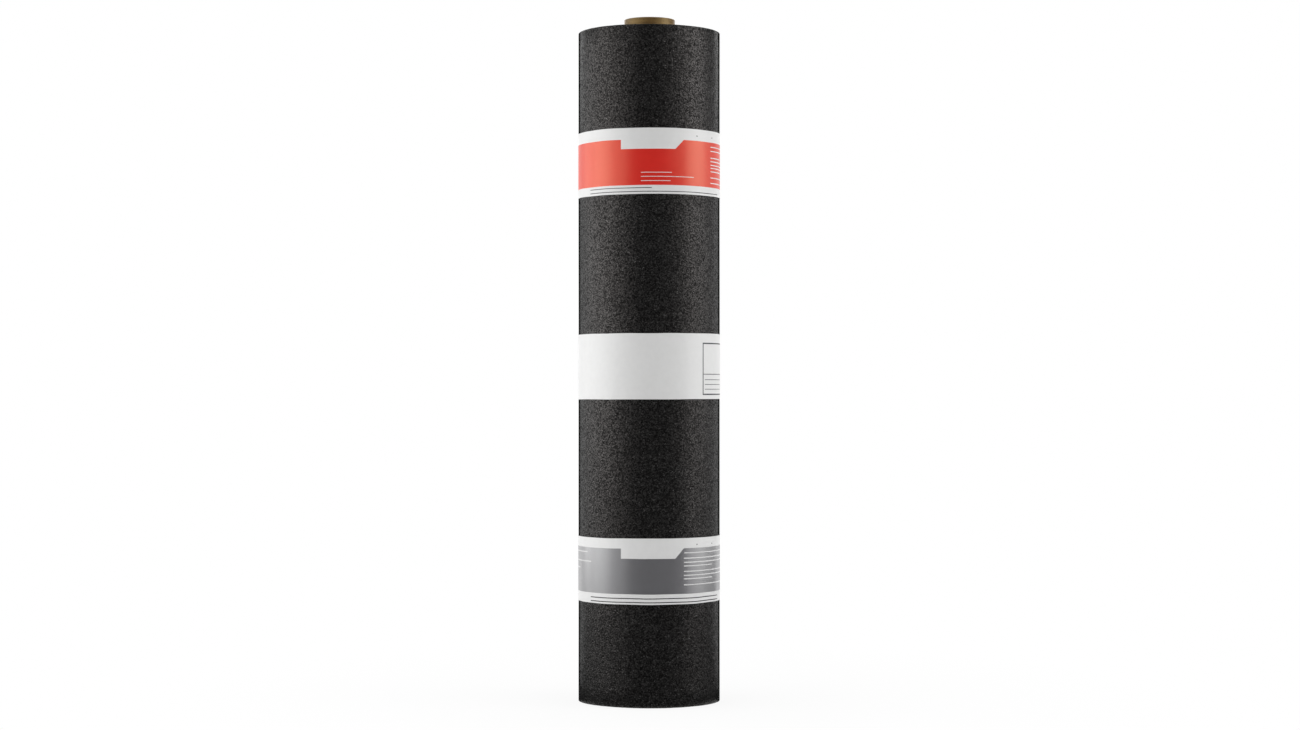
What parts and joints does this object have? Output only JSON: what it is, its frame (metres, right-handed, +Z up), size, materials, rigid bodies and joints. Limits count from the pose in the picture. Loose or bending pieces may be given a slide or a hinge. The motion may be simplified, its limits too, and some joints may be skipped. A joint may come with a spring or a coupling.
{
  "type": "roll of roofing felt",
  "caption": "Full roll of black sanded bitumen roofing felt standing on its end, wound on a cardboard core tube and held by paper wrapping bands.",
  "frame": {"origin": "on the core's axis, in the plane of the lower end that the roll stands on", "axes": "+Z up along the core's axis; the bands' printed front faces -Y; the sheet's outer cut end runs up the back, at +Y"},
  "size_m": [0.2129, 0.2145, 1.02],
  "materials": {
    "felt": "matte",
    "core_board": "matte",
    "band_paper_red": "satin",
    "band_paper_plain": "satin",
    "band_paper_grey": "satin"
  },
  "bodies": {
    "root": {"felt_roll": "felt", "core_tube": "core_board", "band_upper": "band_paper_red", "band_middle": "band_paper_plain", "band_lower": "band_paper_grey"}
  },
  "joints": []
}
